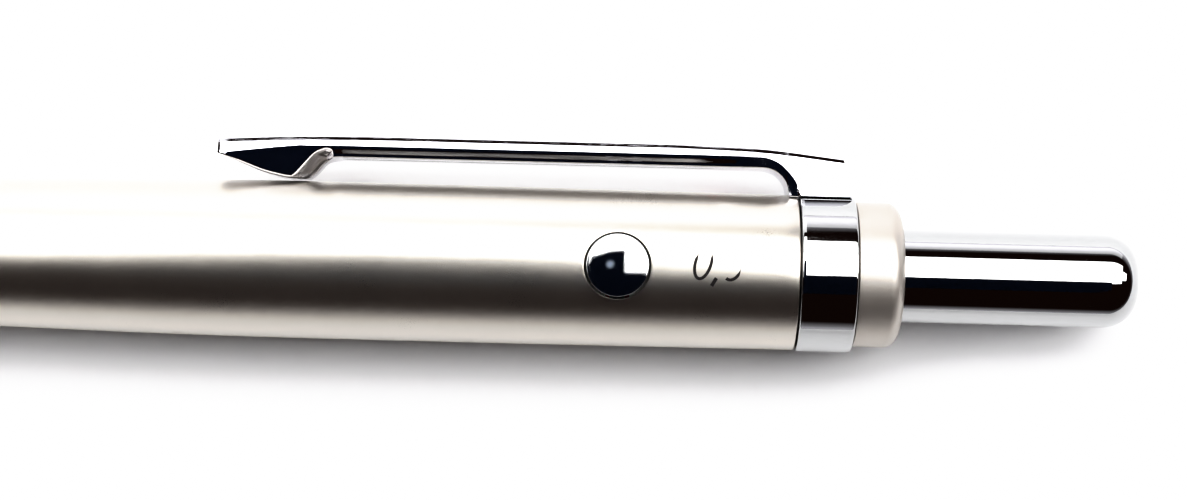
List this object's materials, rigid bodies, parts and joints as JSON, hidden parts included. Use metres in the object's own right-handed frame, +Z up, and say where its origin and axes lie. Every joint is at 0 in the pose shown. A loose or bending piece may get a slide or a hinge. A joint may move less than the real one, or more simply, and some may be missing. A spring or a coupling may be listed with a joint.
{
  "type": "multi pen",
  "caption": "Slim satin metal pen with a spring clip, a long rear push button and a round release button; a pencil and ballpoint refills are chosen by the way it is held.",
  "frame": {"origin": "Middle of the pen's bounding box in X and Y, at the height of the surface that the pen lies on.", "axes": "+X runs along the pen to the push button, +Y is the side of the clip, +Z is up, on the side of the release button and the lead mark."},
  "size_m": [0.14, 0.0136, 0.0113],
  "materials": {
    "chrome": "polished chrome plate",
    "satin": "satin pearl silver, warm grey",
    "steel": "plain spring steel and turned steel",
    "brass": "turned brass",
    "guide_plastic": "moulded natural plastic",
    "black_plastic": "moulded black plastic",
    "red_plastic": "moulded red plastic",
    "lead": "dark grey pencil lead"
  },
  "bodies": {
    "rear_section": {"rear_barrel": "satin", "coupling_sleeve": "brass", "spring_seat": "guide_plastic", "guide_body": "guide_plastic", "rear_guide": "guide_plastic", "rear_collar": "brass", "clip_ring": "chrome", "end_ring": "satin", "button_spring": "steel", "release_spring": "steel", "return_spring_pencil": "steel", "return_spring_black": "steel", "return_spring_red": "steel"},
    "front_section": {"front_barrel": "satin", "nose_cone": "chrome"},
    "clip_body": {"clip": "chrome"},
    "button_body": {"push_button": "chrome", "pendulum_pin": "steel"},
    "pendulum_body": {"pendulum": "brass"},
    "release_body": {"release_button": "chrome", "catch_ring": "steel"},
    "pencil_slide_body": {"slide_pencil": "steel"},
    "black_slide_body": {"slide_black": "black_plastic"},
    "red_slide_body": {"slide_red": "red_plastic"},
    "pencil_body": {"pencil_cone": "steel", "pencil_tube": "brass", "chuck_ring": "brass", "pencil_spring": "steel"},
    "lead_body": {"pencil_chuck": "brass", "lead_tube": "guide_plastic", "lead": "lead"},
    "black_refill_body": {"refill_tube_black": "black_plastic", "refill_tip_black": "brass", "refill_ball_black": "steel"},
    "red_refill_body": {"refill_tube_red": "red_plastic", "refill_tip_red": "brass", "refill_ball_red": "steel"}
  },
  "joints": [
    {"name": "button_press", "type": "slide", "parent": "rear_section", "child": "button_body", "axis": [-1, 0, 0], "range_m": [0, 0.007], "stiffness_N_per_m": 200, "springref_m": -0.003, "deforming": ["button_spring"]},
    {"name": "pendulum_swing", "type": "hinge", "parent": "button_body", "child": "pendulum_body", "pos_m": [0.057, -0.00149, 0.00532], "axis": [1, 0, 0], "continuous": true},
    {"name": "release_press", "type": "slide", "parent": "rear_section", "child": "release_body", "axis": [0, 0, -1], "range_m": [0, 0.0006], "stiffness_N_per_m": 200, "springref_m": -0.001, "deforming": ["release_spring"]},
    {"name": "pencil_slide", "type": "slide", "parent": "rear_section", "child": "pencil_slide_body", "axis": [-1, 0, 0], "range_m": [0, 0.007], "stiffness_N_per_m": 100, "springref_m": -0.004, "deforming": ["return_spring_pencil"]},
    {"name": "black_slide", "type": "slide", "parent": "rear_section", "child": "black_slide_body", "axis": [1, 0, 0], "range_m": [-0.007, 0], "stiffness_N_per_m": 100, "springref_m": 0.004, "deforming": ["return_spring_black"]},
    {"name": "red_slide", "type": "slide", "parent": "rear_section", "child": "red_slide_body", "axis": [1, 0, 0], "range_m": [-0.007, 0], "stiffness_N_per_m": 100, "springref_m": 0.004, "deforming": ["return_spring_red"]},
    {"name": "pencil_lean", "type": "hinge", "parent": "pencil_slide_body", "child": "pencil_body", "pos_m": [0, -0.00149, 0.00337], "axis": [0, 1, 0], "range_deg": [0, 1.75]},
    {"name": "black_lean", "type": "hinge", "parent": "black_slide_body", "child": "black_refill_body", "pos_m": [0, 0.0002, 0.0063], "axis": [0, -0.5, 0.866], "range_deg": [0, 1.75], "deforming": ["refill_tube_black", "refill_tip_black", "refill_ball_black"]},
    {"name": "red_lean", "type": "hinge", "parent": "red_slide_body", "child": "red_refill_body", "pos_m": [0, -0.00318, 0.0063], "axis": [0, -0.5, -0.866], "range_deg": [0, 1.75], "deforming": ["refill_tube_red", "refill_tip_red", "refill_ball_red"]},
    {"name": "lead_feed", "type": "slide", "parent": "pencil_body", "child": "lead_body", "axis": [-1, 0, 0], "range_m": [0, 0.0008], "stiffness_N_per_m": 60, "springref_m": -0.001, "deforming": ["pencil_spring"]},
    {"name": "clip_flex", "type": "hinge", "parent": "rear_section", "child": "clip_body", "pos_m": [0.051, 0.00391, 0.00532], "axis": [0, 0, -1], "range_deg": [0, 3], "stiffness_Nm_per_rad": 0.1},
    {"name": "front_section_draw", "type": "slide", "parent": "rear_section", "child": "front_section", "axis": [-1, 0, 0], "range_m": [0, 0.075]}
  ],
  "couplings": [
    {"joint": "pencil_slide", "follows": "button_press", "ratio": 1},
    {"joint": "pencil_lean", "follows": "button_press", "rad_per_m": 4.2538},
    {"joint": "black_lean", "follows": "black_slide", "rad_per_m": -4.2538},
    {"joint": "red_lean", "follows": "red_slide", "rad_per_m": -4.2538}
  ]
}
